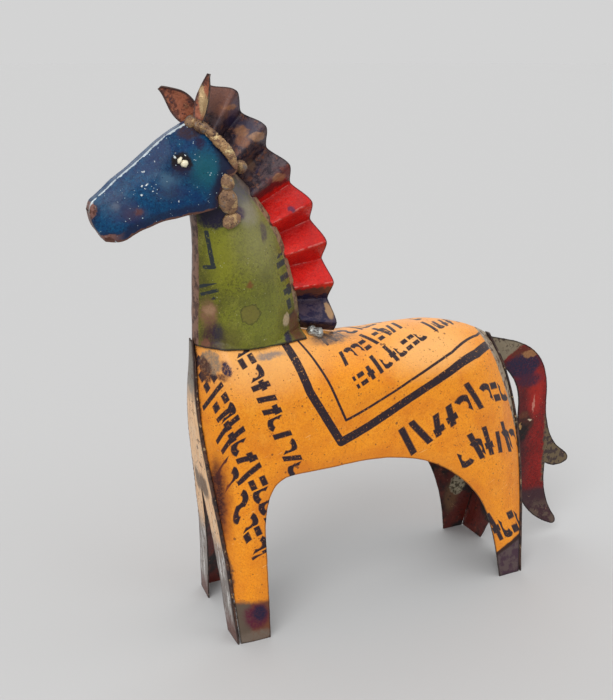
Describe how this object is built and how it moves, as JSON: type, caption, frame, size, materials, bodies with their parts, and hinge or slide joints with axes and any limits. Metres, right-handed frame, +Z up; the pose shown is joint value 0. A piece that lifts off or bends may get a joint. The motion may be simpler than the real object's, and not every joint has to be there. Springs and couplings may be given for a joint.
{
  "type": "scrap metal horse sculpture",
  "caption": "Small standing horse of cut and bent scrap tin: saddle-shaped body sheet on four angle legs, neck tube, folded head, leaf ears, pleated mane and barbed tail, brazed together.",
  "frame": {"origin": "on the floor, under the middle of the overall box", "axes": "+Z up, the head points to -X, the horse's left side faces -Y"},
  "size_m": [0.1808, 0.0404, 0.1795],
  "materials": {
    "orange_print": "glossy orange tin print with dark bands and rows of strokes, scratched, scorched purple-brown at the feet and seams",
    "bare_tin": "bare scraped tin with cream and grey paint remains and brown heat marks along the seam",
    "burnt_red": "dark maroon paint scorched nearly black",
    "blue_enamel": "glossy blue enamel, mottled darker by heat, with small chips and a worn rim",
    "green_paint": "olive green tin print with a few dark marks, scorched brown at both ends and bare along the edges",
    "red_paint": "bright red paint burnt to navy, brown and grey at both ends",
    "brass_braze": "dull golden braze run in small ripples",
    "weld_dot": "bright cream bead of filler metal",
    "solder": "silvery lump of solder",
    "rusted_tin": "thinly rusted copper-brown tin with brassy glints at the rim"
  },
  "bodies": {
    "root": {"body": "orange_print", "chest_plate": "bare_tin", "rump_plate": "burnt_red", "head": "blue_enamel", "neck": "green_paint", "mane": "red_paint", "braze_head_left": "brass_braze", "braze_jaw_left": "brass_braze", "eye_left": "weld_dot", "braze_head_right": "brass_braze", "braze_jaw_right": "brass_braze", "eye_right": "weld_dot", "solder_withers": "solder", "ear_left": "rusted_tin", "ear_right": "rusted_tin", "tail": "red_paint"}
  },
  "joints": []
}
